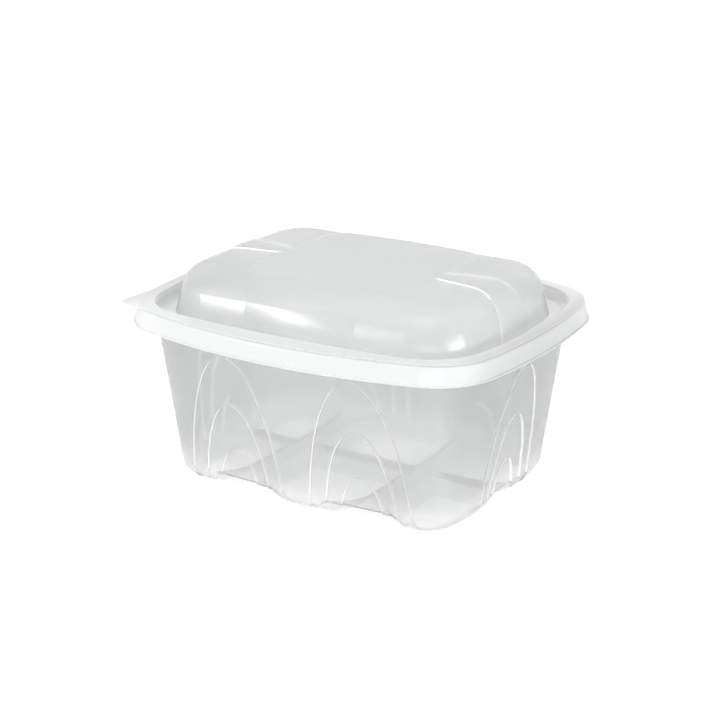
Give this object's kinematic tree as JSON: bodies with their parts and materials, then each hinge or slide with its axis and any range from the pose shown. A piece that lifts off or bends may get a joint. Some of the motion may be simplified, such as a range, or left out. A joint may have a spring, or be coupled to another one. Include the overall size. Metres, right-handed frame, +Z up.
{
  "type": "food tray with lid",
  "caption": "Rounded rectangular takeaway food tray of thin translucent plastic, with nested arch panels in its walls, moulded feet and a domed plug-in lid with a corner pull tab.",
  "frame": {"origin": "on the table under the middle of the tray", "axes": "+X along the longer sides, +Y from the front long side to the back one, +Z up"},
  "size_m": [0.168, 0.1404, 0.09],
  "materials": {
    "tray_plastic": "translucent, satin gloss",
    "lid_plastic": "translucent, satin gloss"
  },
  "bodies": {
    "tray": {"tray": "tray_plastic"},
    "lid": {"lid": "lid_plastic"}
  },
  "joints": [
    {"name": "lid_lift", "type": "slide", "parent": "tray", "child": "lid", "axis": [0, 0, 1], "range_m": [0, 0.08]}
  ]
}
